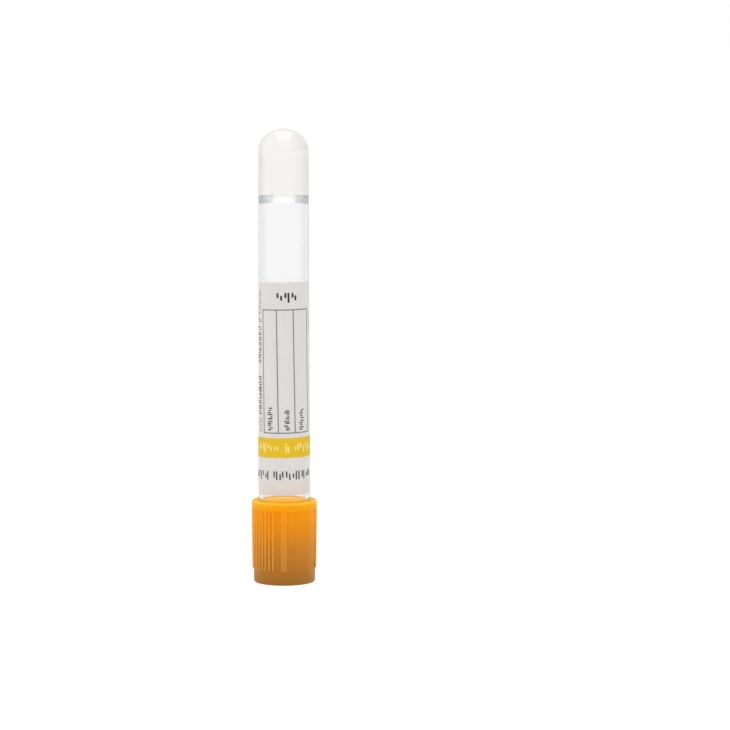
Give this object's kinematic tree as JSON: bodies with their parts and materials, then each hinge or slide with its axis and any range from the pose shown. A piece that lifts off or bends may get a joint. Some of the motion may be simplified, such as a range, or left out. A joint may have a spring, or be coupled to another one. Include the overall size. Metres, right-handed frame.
{
  "type": "blood collection tube",
  "caption": "Capped clear sample tube with a rounded closed end, separating gel, ruled label and ribbed pull-off closure, standing on its cap.",
  "frame": {"origin": "on the tube's axis at the cap's flat outer face, which the part stands on", "axes": "+Z along the axis from the cap to the closed end; -Y is the front, where the cap's wide strip and the label's ruled box are; the label's bare strip is at +Y"},
  "size_m": [0.016, 0.016, 0.1107],
  "materials": {
    "cap": "moulded amber-orange plastic, slightly see-through, satin gloss",
    "stopper": "dark grey butyl rubber, matt with a faint sheen",
    "tube": "clear moulded polyester, glossy",
    "gel": "milky soft polymer gel",
    "label": "white satin label paper with a ruled box and a yellow band"
  },
  "bodies": {
    "cap_body": {"cap": "cap"},
    "stopper_body": {"stopper": "stopper"},
    "tube_body": {"tube": "tube", "gel": "gel", "label": "label"}
  },
  "joints": [
    {"name": "cap_twist", "type": "hinge", "parent": "cap_body", "child": "stopper_body", "pos_m": [0, 0, 0.005], "axis": [0, 0, 1], "continuous": true},
    {"name": "closure_pull", "type": "slide", "parent": "stopper_body", "child": "tube_body", "axis": [0, 0, 1], "range_m": [0, 0.025]}
  ]
}
